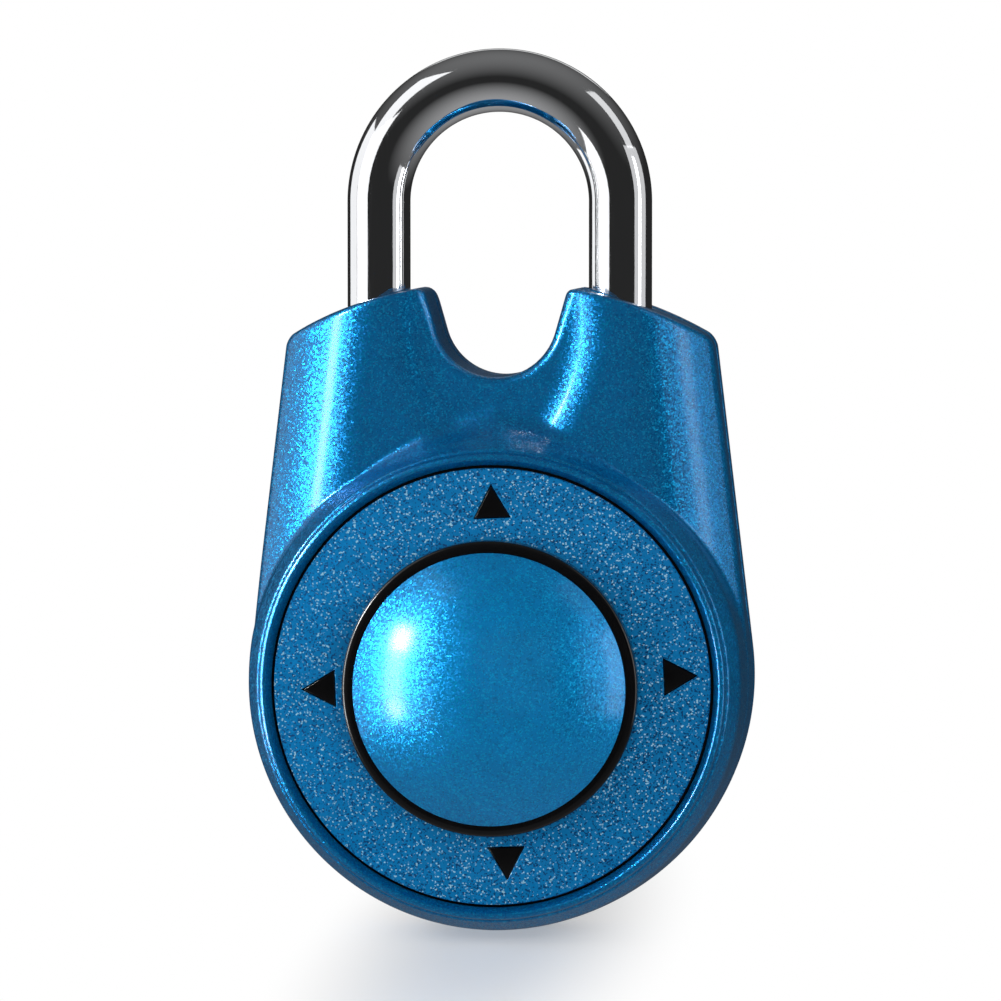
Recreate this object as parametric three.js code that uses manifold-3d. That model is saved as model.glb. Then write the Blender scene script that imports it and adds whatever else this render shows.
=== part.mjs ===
// Directional combination padlock: a flask-shaped die-cast case, a steel shackle, and a domed knob
// that slides up, down, left and right to turn four code wheels.
//
// Millimetres, +X right, +Z up, and the front faces -Y. The lock is modelled about the middle of its
// dial, in the plane of the shackle (y = 0), and the whole group is then lowered so that the origin is
// the highest point inside the shackle's bow, where the lock hangs from a hasp.
import * as THREE from "three";
import { mergeVertices } from "three/addons/utils/BufferGeometryUtils.js";
import Module from "manifold-3d";

const wasm = await Module();
wasm.setup();

// ---- driving dimensions ------------------------------------------------------------------------
const GAP = 0.3; // clearance between neighbouring pieces

// case
const DRUM_R = 27.3; // widest radius of the round dial housing
const SIDE_LEAN = 0.119; // how far each side leans in, per millimetre of height
const SHOULDER = { x: 19.8, z: 38.7 }; // where the top edge begins, past the rounded corner
const CORNER_Z = 35.6; // where each straight side ends
const BROW = { x: 9.7, z: 42.1 }; // top edge beside a shackle leg
const PEAK = { x: 8.7, z: 42.4 }; // the horn beside the notch
const NOTCH = { r: 6.6, z: 39.35, lean: 0.286 }; // U notch under the shackle
const FRONT_Y = -11; // crest of the bezel
const SHOULDER_Y = -7.2; // front of the shoulders
const FLANK = { inset: 8, depth: 5 }; // quarter ellipse from each shoulder round to its side
const VALLEY = { floor: -6, half: 7.4, top: 13, low: 20 }; // dished front between the shoulders
const CROWN_BEND = { x: 14.8, z: 41.1 }; // pulls the top edge's curve outward
const SEAM_Y = 4.6; // rear edge of the front shell
const BACK_Y = 9.5; // flat back
const BEZEL = { inner: 24.2, outer: 24.6 }; // the crest of the bezel
const LIP = { r: 23.6, front: -9.95, back: -9.7 }; // the bezel's inner edge, over the dial's rim
const COVE = [
  [26.3, -6.1],
  [25.9, -6.3],
  [25.5, -7.2],
  [25.25, -8.6],
  [25, -10.4],
]; // hollow moulding round the bezel, from its outer edge up to the crest
const TAPER_Y = 3; // the dial housing narrows from here forward to the cove
const CAVITY_R = 24.6; // inside of the dial housing
const SLIDE_ROOM_Y = -7.6; // front of the room for the slides
const WHEEL_ROOM_Y = -4.4; // front of the room for the code wheels
const SHELF_Z = 18; // the cavity's flat top, below the shackle's bores
const LEDGE_R = 21.3; // opening behind the dial
const CORING = { left: -7.5, right: 6.2, front: -4, low: 19.5, high: 30.5 };
const BACK_FLOOR_Y = 7.9; // inside of the rear wall

// shackle
const BAR_R = 3.4;
const LEG_X = 13.04;
const BOW_Z = 51.5; // centre of the bow
const BORE_R = BAR_R + 0.35;
const HEEL_Z = 21.8; // foot of the long leg
const TOE_Z = 30; // foot of the short leg
const PRESS_IN = 2.5; // how far the shackle goes in to clear the wheels
const LIFT = 12.2; // how far it lifts to open
const FLAT = { at: 2.1, low: 22.9, high: 40 }; // flat milled on the outer side of the long leg
const NECK_R = 2.3; // ring groove that meets the stop pin at full lift, so the shackle can swing
const PIN_R = 0.85;
const STOP_PIN = { x: -LEG_X - FLAT.at - GAP - PIN_R, z: FLAT.high - PRESS_IN - GAP - PIN_R };

// dial and knob
const DIAL_TURN = THREE.MathUtils.degToRad(2.4); // the dial sits a little askew in its bezel
const DIAL_R = 23.3;
const DIAL_OPENING_R = 24.1;
const DIAL_FRONT_Y = -10.3;
const DIAL_PLATE_T = 0.6;
const DIAL_POCKET_Y = -8.5; // bottom of the pocket that the dial sits in
const DIAL_HOLE_R = 9.5;
const ARROW = { base: 17.5, tip: 21.15, half: 2.02 };
const ARROWS_AT = { x: 0.8, z: 0.45 }; // the set of arrows sits a little up and to the right
const KNOB_TRAVEL = 3;
const STEM_HALF = 3.5; // half the side of the square stem
const DOME_R = 14.5;
const DOME_TOP_Y = -20;
const SKIRT_R = 15.7;
const SKIRT_Y = { front: -13.5, back: -10.75 };

// slides
const HUB_HALF = 9;
const ARM_HALF = 4.5;
const ARM_END = 13.4;
const SLIDE_LUG = { half: 1.5, thick: 0.8, back: -5.6 };
const V_SLIDE_Y = { front: -8, back: -7 };
const C_SLIDE_Y = { front: -6.7, back: -5.7 };
const GUIDE_Y = { front: -5.5, back: -4.7 };

// code wheels
const WHEEL_AT = 8.6; // each wheel's centre, along both axes
const WHEEL_R = 6.4;
const TEETH = 15;
const RATCHET_Y = { front: -3.9, back: -2.5 };
const WHEEL_Y = { front: -2.2, back: -0.1 };
const PLATE_Y = { front: 0.3, back: 1.5 }; // mechanism plate
const AXLE_R = 1.2;
const GATE = { half: 1.1, depth: 1.8 };

// fence and latch
const FENCE_DROP = 1.4;
const FENCE_Y = { front: 2.6, back: 3.8 };
const LUG = { half: 0.8, height: 1.4, clear: 0.4 };
const LATCH_TRAVEL = 2.4;
const LATCH_Y = { front: 5.2, back: 6.6 };
const BOLT = { x: 7.5, width: 1.8, front: -1.5, low: 34.5, high: 36.5 };
const CAM_STUD = { x: 6, z: 8, r: 0.9 };

// fasteners
const PILLAR = { x: 15.56, z: 15.56, r: 2.2, root: -7.7 };
const SCREW = { r: 1, hole: 1.3, tip: -2.9, head: 1.7 };
const RIVETS = [
  { x: -20, z: 31.5 },
  { x: 20, z: 31.5 },
  { x: -9, z: -20.9 },
  { x: 9, z: -20.9 },
];
const RIVET = { r: 1.1, tip: -2, headR: 2, headT: 0.85, seat: 1.2 };

// code-change slide in the back
const RESET = { z: -6, halfWide: 6.5, halfHigh: 4, depth: 1.2 };

// ---- materials ---------------------------------------------------------------------------------
function metal(color, roughness) {
  return new THREE.MeshStandardMaterial({ color, roughness, metalness: 1 });
}
function plastic(color, roughness) {
  return new THREE.MeshStandardMaterial({ color, roughness, metalness: 0 });
}
const bluePaint = () => metal(0x0a6fb0, 0.35);
const chrome = () => metal(0xd8dade, 0.12);
const steel = () => metal(0x9a9da2, 0.4);
const brass = () => metal(0xb8924a, 0.4);
const blackPlastic = () => plastic(0x101012, 0.45);
const whitePlastic = () => plastic(0xd9d6cc, 0.5);

// ---- solids ------------------------------------------------------------------------------------
// A closed geometry as a manifold solid: only its positions, with shared vertices merged.
function solid(geometry) {
  geometry.deleteAttribute("normal");
  geometry.deleteAttribute("uv");
  const merged = mergeVertices(geometry, 1e-4);
  return new wasm.Manifold(
    new wasm.Mesh({
      numProp: 3,
      vertProperties: merged.attributes.position.array,
      triVerts: new Uint32Array(merged.index.array),
    }),
  );
}

function joined(solids) {
  return solids.reduce((whole, one) => whole.add(one));
}

// A block between two corners.
function block(x0, x1, y0, y1, z0, z1) {
  const box = new THREE.BoxGeometry(x1 - x0, y1 - y0, z1 - z0);
  return solid(box.translate((x0 + x1) / 2, (y0 + y1) / 2, (z0 + z1) / 2));
}

// A round bar along Y, at x, z.
function barY(r, y0, y1, x = 0, z = 0, sides = 24) {
  const bar = new THREE.CylinderGeometry(r, r, y1 - y0, sides);
  return solid(bar.translate(x, (y0 + y1) / 2, z));
}

// A round bar along Z, at x in the plane of the shackle.
function barZ(r, z0, z1, x, sides = 24) {
  const bar = new THREE.CylinderGeometry(r, r, z1 - z0, sides).rotateX(Math.PI / 2);
  return solid(bar.translate(x, 0, (z0 + z1) / 2));
}

// A shape drawn in X and Z, as a plate from yFront to yBack.
function plate(shape, yFront, yBack, curveSegments = 12) {
  const options = { depth: yBack - yFront, bevelEnabled: false, curveSegments };
  const slab = new THREE.ExtrudeGeometry(shape, options).rotateX(Math.PI / 2);
  return solid(slab.translate(0, yBack, 0));
}

// A profile of [radius, y] points turned about the Y axis, closed along the axis.
function turned(points, segments = 36) {
  const profile = points.map(([r, y]) => new THREE.Vector2(r, y));
  return solid(new THREE.LatheGeometry(profile, segments));
}

function disc(r, yFront, yBack, sides = 36) {
  return barY(r, yFront, yBack, 0, 0, sides);
}

// ---- case outline ------------------------------------------------------------------------------
// The round bottom and the sides that leave it on a tangent, up to the height z.
function roundBottom(z) {
  const reach = Math.hypot(1, SIDE_LEAN);
  const side = { x: DRUM_R / reach, z: (DRUM_R * SIDE_LEAN) / reach };
  const topX = side.x - SIDE_LEAN * (z - side.z);
  const start = Math.atan2(side.z, side.x);
  const shape = new THREE.Shape();
  shape.absarc(0, 0, DRUM_R, Math.PI - start, 2 * Math.PI + start, false);
  shape.lineTo(topX, z);
  return { shape, topX };
}

// The flask: the round bottom, its sides, and rounded shoulders.
function flask() {
  const { shape: s, topX: cornerX } = roundBottom(CORNER_Z);
  s.quadraticCurveTo(cornerX - 0.4, CORNER_Z + 1.9, SHOULDER.x, SHOULDER.z);
  s.quadraticCurveTo(CROWN_BEND.x, CROWN_BEND.z, BROW.x, BROW.z);
  s.lineTo(PEAK.x, PEAK.z);
  s.lineTo(-PEAK.x, PEAK.z);
  s.lineTo(-BROW.x, BROW.z);
  s.quadraticCurveTo(-CROWN_BEND.x, CROWN_BEND.z, -SHOULDER.x, SHOULDER.z);
  s.quadraticCurveTo(-cornerX + 0.4, CORNER_Z + 1.9, -cornerX, CORNER_Z);
  return s;
}

// What the U notch takes out of the top, with a rounded lip on each horn.
function notchCut() {
  const slope = Math.hypot(1, NOTCH.lean);
  const wall = { x: NOTCH.r / slope, z: NOTCH.z - (NOTCH.r * NOTCH.lean) / slope };
  const lipZ = PEAK.z - 0.7;
  const lipX = wall.x + NOTCH.lean * (lipZ - wall.z);
  const floor = Math.atan2(wall.z - NOTCH.z, wall.x);
  const above = PEAK.z + 5;
  const s = new THREE.Shape();
  s.moveTo(-PEAK.x, above);
  s.lineTo(-PEAK.x, PEAK.z);
  s.quadraticCurveTo(-lipX - 0.2, PEAK.z + 0.2, -lipX, lipZ);
  s.absarc(0, NOTCH.z, NOTCH.r, -Math.PI - floor, floor, false);
  s.lineTo(lipX, lipZ);
  s.quadraticCurveTo(lipX + 0.2, PEAK.z + 0.2, PEAK.x, PEAK.z);
  s.lineTo(PEAK.x, above);
  return plate(s, -20, 20, 7);
}

// A shape as a slab from yFront to yBack, its front and rear edges rounded off by inset and depth.
function easedSlab(shape, yFront, yBack, inset, depth, segments) {
  const options = {
    depth: yBack - yFront - 2 * depth,
    bevelThickness: depth,
    bevelSize: inset,
    bevelOffset: -inset,
    bevelSegments: segments,
    curveSegments: 7,
  };
  const slab = new THREE.ExtrudeGeometry(shape, options).rotateX(Math.PI / 2);
  return solid(slab.translate(0, yBack - depth, 0));
}

// The dished front between the shoulders, as what it takes away.
function valleyCut() {
  const { floor, half, top, low } = VALLEY;
  const s = new THREE.Shape();
  s.moveTo(-half, floor);
  s.lineTo(half, floor);
  s.quadraticCurveTo(top - 2, floor - 0.3, top, SHOULDER_Y);
  s.lineTo(top, SHOULDER_Y - 2);
  s.lineTo(-top, SHOULDER_Y - 2);
  s.lineTo(-top, SHOULDER_Y);
  s.quadraticCurveTo(2 - top, floor - 0.3, -half, floor);
  const options = { depth: 40, bevelEnabled: false, curveSegments: 5 };
  return solid(new THREE.ExtrudeGeometry(s, options).translate(0, 0, low));
}

// ---- shells ------------------------------------------------------------------------------------
function frontShell() {
  const flare = [
    [0, SEAM_Y],
    [DRUM_R, SEAM_Y],
    [DRUM_R, TAPER_Y],
    ...COVE,
    [BEZEL.outer, FRONT_Y],
    [BEZEL.inner, FRONT_Y],
    [LIP.r, LIP.front],
    [0, LIP.front],
  ];
  const REACH = 60;
  const rearmost = SEAM_Y + FLANK.depth + 1;
  const rear = block(-REACH, REACH, SEAM_Y, rearmost + 1, -REACH, REACH);
  const { shape: tall, topX } = roundBottom(REACH);
  tall.lineTo(-topX, REACH);
  const shoulders = easedSlab(tall, SHOULDER_Y, rearmost, FLANK.inset, FLANK.depth, 5)
    .intersect(plate(flask(), SHOULDER_Y - 1, rearmost, 7))
    .subtract(valleyCut())
    .subtract(notchCut());
  const rim = DRUM_R + 0.2;
  const moat = turned(
    [
      [0, FRONT_Y - 1],
      [rim, FRONT_Y - 1],
      [rim, SHOULDER_Y + 0.1],
      [rim - 0.6, VALLEY.floor - 0.4],
      [rim - 1.3, VALLEY.floor - 0.1],
      [0, VALLEY.floor - 0.1],
    ],
    48,
  );
  const body = shoulders.subtract(moat).add(turned(flare.reverse(), 48)).subtract(rear);
  const behind = SEAM_Y + 1;
  const cavity = disc(CAVITY_R, WHEEL_ROOM_Y, behind, 48).subtract(
    block(-30, 30, -10, 10, SHELF_Z, 40),
  );
  const coring = block(
    CORING.left,
    CORING.right,
    CORING.front,
    behind,
    CORING.low,
    CORING.high,
  );
  const nose = block(
    BOLT.x - GAP,
    LEG_X,
    BOLT.front - GAP,
    behind,
    BOLT.low - GAP,
    BOLT.high + GAP,
  );
  const rivetHole = ({ x, z }) => barY(RIVET.r + GAP, RIVET.tip - GAP, behind, x, z, 16);
  const hollow = [
    disc(LIP.r, FRONT_Y - 1, LIP.back + 0.1, 48),
    disc(DIAL_OPENING_R, LIP.back, DIAL_POCKET_Y, 48),
    disc(LEDGE_R, DIAL_POCKET_Y - 0.5, SLIDE_ROOM_Y + 0.1),
    disc(CAVITY_R, SLIDE_ROOM_Y, WHEEL_ROOM_Y, 48),
    cavity,
    coring,
    nose,
    barZ(BORE_R, SHELF_Z + 1, 50, -LEG_X),
    barZ(BORE_R, TOE_Z - PRESS_IN - 2 * GAP, 50, LEG_X),
    barY(PIN_R + GAP, WHEEL_ROOM_Y, behind, STOP_PIN.x, STOP_PIN.z, 16),
    ...RIVETS.slice(0, 2).map(rivetHole),
  ];
  let shell = body.subtract(joined(hollow));
  for (const { x, z } of pillars()) {
    const post = barY(PILLAR.r, PILLAR.root, 0, x, z, 16);
    shell = shell.add(post.subtract(barY(SCREW.hole, SCREW.tip - 0.4, 1, x, z, 12)));
  }
  for (const at of RIVETS.slice(2)) {
    const post = barY(PILLAR.r, PILLAR.root, SEAM_Y, at.x, at.z, 16);
    shell = shell.add(post.subtract(rivetHole(at)));
  }
  return shell;
}

function pillars() {
  const { x, z } = PILLAR;
  return [
    { x: -x, z },
    { x, z },
    { x: -x, z: -z },
    { x, z: -z },
  ];
}

function backShell() {
  const EASE = 2;
  const body = easedSlab(flask(), SEAM_Y - 6, BACK_Y, EASE, EASE, 2)
    .subtract(notchCut())
    .subtract(block(-40, 40, -10, SEAM_Y + GAP, -40, 60));
  const low = SEAM_Y - 1;
  const room = disc(CAVITY_R, low, BACK_FLOOR_Y, 48).subtract(
    block(-30, 30, -10, 10, SHELF_Z, 40),
  );
  const latchRoom = block(-7, 12.4, low, BACK_FLOOR_Y, 10, 31.4).add(
    block(BOLT.x - GAP, 12.4, low, BACK_FLOOR_Y, 31, 38.2),
  );
  const recess = block(
    -RESET.halfWide,
    RESET.halfWide,
    BACK_Y - RESET.depth,
    BACK_Y + 1,
    RESET.z - RESET.halfHigh,
    RESET.z + RESET.halfHigh,
  );
  const slot = block(-3.5, 3.5, 6, BACK_Y, RESET.z - 1.5, RESET.z + 1.5);
  let shell = body.subtract(joined([room, latchRoom, recess, slot]));
  for (const { x, z } of RIVETS.slice(2)) {
    shell = shell.add(barY(PILLAR.r, SEAM_Y + GAP, BACK_FLOOR_Y + 0.1, x, z, 16));
  }
  const holes = RIVETS.flatMap(({ x, z }) => [
    barY(RIVET.r + GAP, 0, BACK_Y, x, z, 16),
    barY(RIVET.headR + GAP, BACK_Y - RIVET.seat, BACK_Y + 1, x, z, 16),
  ]);
  return shell.subtract(joined(holes));
}

// ---- shackle -----------------------------------------------------------------------------------
function circle(r, sides) {
  const s = new THREE.Shape();
  for (let i = 0; i < sides; i++) {
    const a = (2 * Math.PI * i) / sides;
    if (i) s.lineTo(r * Math.cos(a), r * Math.sin(a));
    else s.moveTo(r, 0);
  }
  return s;
}

class Bow extends THREE.Curve {
  getPoint(t, target = new THREE.Vector3()) {
    const a = Math.PI * (1 - t);
    return target.set(LEG_X * Math.cos(a), 0, BOW_Z + LEG_X * Math.sin(a));
  }
}

function shackle() {
  const SIDES = 16;
  const options = { steps: 20, bevelEnabled: false, extrudePath: new Bow() };
  const bow = solid(new THREE.ExtrudeGeometry(circle(BAR_R, SIDES), options));
  const leg = (x, foot) =>
    solid(
      new THREE.CylinderGeometry(BAR_R, BAR_R, BOW_Z + 0.05 - foot, SIDES)
        .rotateX(Math.PI / 2)
        .translate(x, 0, (BOW_Z + 0.05 + foot) / 2),
    );
  const pinAtLift = STOP_PIN.z - LIFT;
  const half = PIN_R + GAP;
  const groove = barZ(BAR_R + 1, pinAtLift - half, pinAtLift + half, -LEG_X, SIDES).subtract(
    barZ(NECK_R, 0, 50, -LEG_X, SIDES),
  );
  const flat = block(-LEG_X - 5, -LEG_X - FLAT.at, -5, 5, FLAT.low, FLAT.high);
  const notch = block(LEG_X - 4, LEG_X - 1, -5, 5, BOLT.low - 0.5, BOLT.high + PRESS_IN + 0.4);
  return joined([bow, leg(-LEG_X, HEEL_Z), leg(LEG_X, TOE_Z)])
    .subtract(groove)
    .subtract(flat)
    .subtract(notch);
}

// ---- coil springs ------------------------------------------------------------------------------
class Helix extends THREE.Curve {
  constructor(r, length, turns) {
    super();
    Object.assign(this, { r, length, turns });
  }
  getPoint(t, target = new THREE.Vector3()) {
    const a = 2 * Math.PI * this.turns * t;
    return target.set(this.r * Math.cos(a), this.length * t, this.r * Math.sin(a));
  }
}

// A coil from y = 0 to y = length before it is turned to its axis: outer radius and wire radius.
function coil(outerR, wireR, length, turns) {
  const path = new Helix(outerR - wireR, length - 2 * wireR, turns);
  const options = { steps: turns * 7, bevelEnabled: false, extrudePath: path };
  return new THREE.ExtrudeGeometry(circle(wireR, 4), options).translate(0, wireR, 0);
}

// ---- dial and knob -----------------------------------------------------------------------------
function arrowHead(turn, inset) {
  const s = new THREE.Shape();
  const corners = [
    [-ARROW.half + 1.6 * inset, ARROW.base + inset],
    [ARROW.half - 1.6 * inset, ARROW.base + inset],
    [0, ARROW.tip - 2.3 * inset],
  ];
  corners.forEach(([x, z], i) => {
    const at = new THREE.Vector2(x, z).rotateAround(new THREE.Vector2(), turn);
    if (i) s.lineTo(at.x + ARROWS_AT.x, at.y + ARROWS_AT.z);
    else s.moveTo(at.x + ARROWS_AT.x, at.y + ARROWS_AT.z);
  });
  return s;
}

const QUARTERS = [0, 1, 2, 3].map((n) => (n * Math.PI) / 2);

function dialPlate() {
  const cuts = QUARTERS.map((turn) => plate(arrowHead(turn, 0), -12, -9));
  cuts.push(disc(DIAL_HOLE_R, -12, -9));
  const back = DIAL_FRONT_Y + DIAL_PLATE_T;
  return disc(DIAL_R, DIAL_FRONT_Y, back, 48).subtract(joined(cuts));
}

function dialCarrier() {
  const front = DIAL_FRONT_Y + DIAL_PLATE_T + GAP;
  const base = disc(DIAL_OPENING_R - GAP, front, DIAL_POCKET_Y - 0.2, 48).subtract(
    disc(DIAL_HOLE_R, -12, -8),
  );
  const raised = QUARTERS.map((turn) => plate(arrowHead(turn, GAP), DIAL_FRONT_Y + 0.1, -9));
  return base.add(joined(raised));
}

function knobDome() {
  const EDGE_Y = SKIRT_Y.front - GAP;
  const WALL = 1.2;
  const height = EDGE_Y - DOME_TOP_Y;
  const ball = (DOME_R ** 2 + height ** 2) / (2 * height);
  const cap = (r, steps) => {
    const most = Math.asin(DOME_R / ball);
    return Array.from({ length: steps + 1 }, (_, i) => {
      const a = (most * i) / steps;
      return [r * Math.sin(a), DOME_TOP_Y + ball - r * Math.cos(a)];
    });
  };
  const outer = cap(ball, 7);
  outer.push([DOME_R, EDGE_Y], [DOME_R - WALL, EDGE_Y]);
  const inner = cap(ball - WALL, 4).reverse();
  const under = inner.filter(([, y]) => y < EDGE_Y - 0.2);
  return turned([...outer, ...under]);
}

function knobSkirt() {
  const { front, back } = SKIRT_Y;
  const rim = turned(
    [
      [0, front],
      [SKIRT_R - 0.5, front],
      [SKIRT_R, front + 0.5],
      [SKIRT_R, back - 0.3],
      [SKIRT_R - 0.3, back],
      [0, back],
    ],
  );
  const socket = STEM_HALF + GAP;
  return rim.subtract(block(-socket, socket, back - 1.5, back + 1, -socket, socket));
}

function knobStem() {
  const h = STEM_HALF;
  const post = block(-h, h, SKIRT_Y.back - 1.2, C_SLIDE_Y.back, -h, h);
  return post.subtract(barY(1.5, -10, -5, 0, 0, 12));
}

function knobRetainer() {
  return disc(5.2, -5.4, -4.9, 20).subtract(barY(1.5, -6, -4, 0, 0, 12));
}

function knobScrew() {
  return barY(1.2, -9.6, -4.5, 0, 0, 12)
    .add(barY(2.4, -4.6, -4.1, 0, 0, 16))
    .subtract(block(-1.6, 1.6, -4.3, -4, -0.3, 0.3));
}

function dustShutter() {
  const hole = STEM_HALF + GAP;
  return disc(14.2, -8.5, -8.2, 36).subtract(block(-hole, hole, -9, -8, -hole, hole));
}

// ---- slides ------------------------------------------------------------------------------------
// Both slides are this plus-shaped plate: a square hub with two arms, and a slot across the arms that
// the stem slides along. Drawn with its arms up and down.
function slidePlate(y) {
  const h = HUB_HALF;
  const slotHalf = STEM_HALF + KNOB_TRAVEL + GAP;
  const body = block(-h, h, y.front, y.back, -h, h)
    .add(block(-ARM_HALF, ARM_HALF, y.front, y.back, -ARM_END, ARM_END))
    .subtract(
      block(-slotHalf, slotHalf, y.front - 1, y.back + 1, -STEM_HALF - GAP, STEM_HALF + GAP),
    );
  const { half, thick, back } = SLIDE_LUG;
  const lug = (side) => {
    const ends = [side * ARM_END, side * (ARM_END - thick)].sort((a, b) => a - b);
    return block(-half, half, y.front, back, ...ends);
  };
  return body.add(lug(1)).add(lug(-1));
}

function verticalSlide() {
  return slidePlate(V_SLIDE_Y);
}

function crossSlide() {
  return slidePlate(C_SLIDE_Y).rotate([0, 90, 0]);
}

// One sprung pawl leaf at the end of the upper arm: a stem back from the lug, and two fingers that
// reach into a tooth gap of the wheel on each side.
function pawl() {
  const z = ARM_END - 0.4;
  const stem = block(-0.5, 0.5, -5.3, RATCHET_Y.back - GAP, z - 0.3, z + 0.3);
  const fingers = [-1, 1].map((side) => {
    const away = Math.hypot(WHEEL_AT, z - WHEEL_AT);
    const reach = away - WHEEL_R + 0.5;
    const angle = Math.atan2(WHEEL_AT - z, WHEEL_AT);
    const finger = new THREE.BoxGeometry(reach, 1, 0.4)
      .translate(reach / 2, (RATCHET_Y.front + RATCHET_Y.back) / 2, 0)
      .rotateY(-angle)
      .translate(0, 0, z);
    return side > 0 ? solid(finger) : solid(finger).mirror([1, 0, 0]);
  });
  return joined([stem, ...fingers]);
}

function guidePlate() {
  const { front, back } = GUIDE_Y;
  const RIM_FRONT = -7.3;
  const base = disc(CAVITY_R - 0.4, RIM_FRONT, back).subtract(
    disc(CAVITY_R - 2, RIM_FRONT - 1, front),
  );
  const rails = [];
  for (const along of [-1, 1]) {
    for (const side of [-1, 1]) {
      const near = side * (ARM_HALF + GAP);
      const far = side * (ARM_HALF + GAP + 1.2);
      const x = [near, far].sort((a, b) => a - b);
      const z = [along * 12.4, along * 17.5].sort((a, b) => a - b);
      rails.push(block(...x, V_SLIDE_Y.front, back, ...z));
      rails.push(block(...z, C_SLIDE_Y.front, back, ...x));
    }
  }
  const reach = ARM_END + KNOB_TRAVEL + 0.5;
  const windows = [
    disc(9.9, front - 1, back + 1, 32),
    block(-2.2, 2.2, front - 1, back + 1, -reach, reach),
    block(-reach, reach, front - 1, back + 1, -2.2, 2.2),
  ];
  const notches = [...pillars(), ...RIVETS.slice(2)].map(({ x, z }) =>
    barY(PILLAR.r + GAP, -9, 0, x, z, 16),
  );
  return joined([base, ...rails]).subtract(joined([...windows, ...notches]));
}

// ---- code wheels -------------------------------------------------------------------------------
const CORNERS = [
  { name: "upper_left", x: -WHEEL_AT, z: WHEEL_AT },
  { name: "upper_right", x: WHEEL_AT, z: WHEEL_AT },
  { name: "lower_left", x: -WHEEL_AT, z: -WHEEL_AT },
  { name: "lower_right", x: WHEEL_AT, z: -WHEEL_AT },
];

// Saw teeth, with a gap centred where the pawl of the nearer vertical arm reaches in.
function ratchetRing({ x, z }) {
  const DEPTH = 1;
  const pawlZ = Math.sign(z) * (ARM_END - 0.4);
  const meet = Math.atan2(pawlZ - z, -x);
  const pitch = (2 * Math.PI) / TEETH;
  const s = new THREE.Shape();
  for (let i = 0; i < TEETH; i++) {
    const steps = [
      [0.3, WHEEL_R - DEPTH],
      [0.7, WHEEL_R - DEPTH],
      [1, WHEEL_R],
    ];
    steps.forEach(([part, r], k) => {
      const a = meet + pitch * (i + part - 0.5);
      const at = [r * Math.cos(a), r * Math.sin(a)];
      if (i || k) s.lineTo(...at);
      else s.moveTo(...at);
    });
  }
  const body = plate(s, RATCHET_Y.front, RATCHET_Y.back);
  return body.subtract(barY(AXLE_R + GAP, -5, 0, 0, 0, 14)).translate([x, 0, z]);
}

// A disc with its gate at the top, and a second gate of the same width and depth opposite.
function codeWheel({ x, z }) {
  const gate = (low, high) => block(-GATE.half, GATE.half, -4, 1, low, high);
  const cuts = [
    gate(WHEEL_R - GATE.depth, WHEEL_R + 1),
    gate(-WHEEL_R - 1, GATE.depth - WHEEL_R),
    barY(AXLE_R + GAP, -4, 1, 0, 0, 14),
  ];
  const rim = disc(WHEEL_R, WHEEL_Y.front, WHEEL_Y.back, 30);
  return rim.subtract(joined(cuts)).translate([x, 0, z]);
}

function wheelAxle({ x, z }) {
  return barY(AXLE_R, -4.2, 2.1, x, z, 12).add(barY(1.9, 1.8, 2.3, x, z, 14));
}

function mechanismPlate() {
  const { front, back } = PLATE_Y;
  const base = disc(CAVITY_R - 0.4, front, back).subtract(
    block(-30, 30, -1, 3, SHELF_Z - GAP, 40),
  );
  const bracket = block(-1.8, 1.8, back - 0.1, 4.2, -11, -9.8);
  const cuts = [
    ...CORNERS.map(({ x, z }) => barY(AXLE_R + GAP, -1, 3, x, z, 14)),
    ...CORNERS.map(({ x, z }) => {
      const foot = z + WHEEL_R + LUG.clear;
      const side = LUG.half + GAP;
      const low = foot - FENCE_DROP - GAP;
      return block(x - side, x + side, -1, 3, low, foot + LUG.height + GAP);
    }),
    ...pillars().map(({ x, z }) => barY(SCREW.hole, -1, 3, x, z, 12)),
    ...RIVETS.slice(2).map(({ x, z }) => barY(PILLAR.r + GAP, -1, 3, x, z, 16)),
  ];
  return base.add(bracket).subtract(joined(cuts));
}

function mechanismScrew({ x, z }) {
  return barY(SCREW.r, SCREW.tip, 1.9, x, z, 10)
    .add(barY(SCREW.head, PLATE_Y.back + GAP, 2.8, x, z, 14))
    .subtract(block(x - 1.2, x + 1.2, 2.4, 3, z - 0.25, z + 0.25));
}

// ---- fence, latch and code-change slide ----------------------------------------------------------
function fencePlate() {
  const { front, back } = FENCE_Y;
  const web = block(-10.2, 10.2, front, back, -2.4, 17.2).subtract(
    block(-6.6, 4.4, 0, 6, 1.5, 12.5),
  );
  const lugs = CORNERS.map(({ x, z }) => {
    const foot = z + WHEEL_R + LUG.clear;
    return block(
      x - LUG.half,
      x + LUG.half,
      WHEEL_Y.front + 0.1,
      front + 0.1,
      foot,
      foot + LUG.height,
    );
  });
  const stud = barY(CAM_STUD.r, front, LATCH_Y.back - 0.2, CAM_STUD.x, CAM_STUD.z, 14);
  return joined([web, ...lugs, stud]);
}

function latchBolt() {
  const { front, back } = LATCH_Y;
  const far = BOLT.x + BOLT.width;
  const windowHalf = CAM_STUD.r + GAP;
  const cam = block(
    CAM_STUD.x - windowHalf - LATCH_TRAVEL,
    CAM_STUD.x + windowHalf,
    front - 1,
    back + 1,
    CAM_STUD.z - windowHalf - FENCE_DROP,
    CAM_STUD.z + windowHalf,
  );
  return joined([
    block(0.5, far, front, back, 3.5, 31),
    block(BOLT.x, far, front, back, 30, BOLT.high),
    block(BOLT.x, far, BOLT.front, back, BOLT.low, BOLT.high),
  ]).subtract(cam);
}

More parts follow.
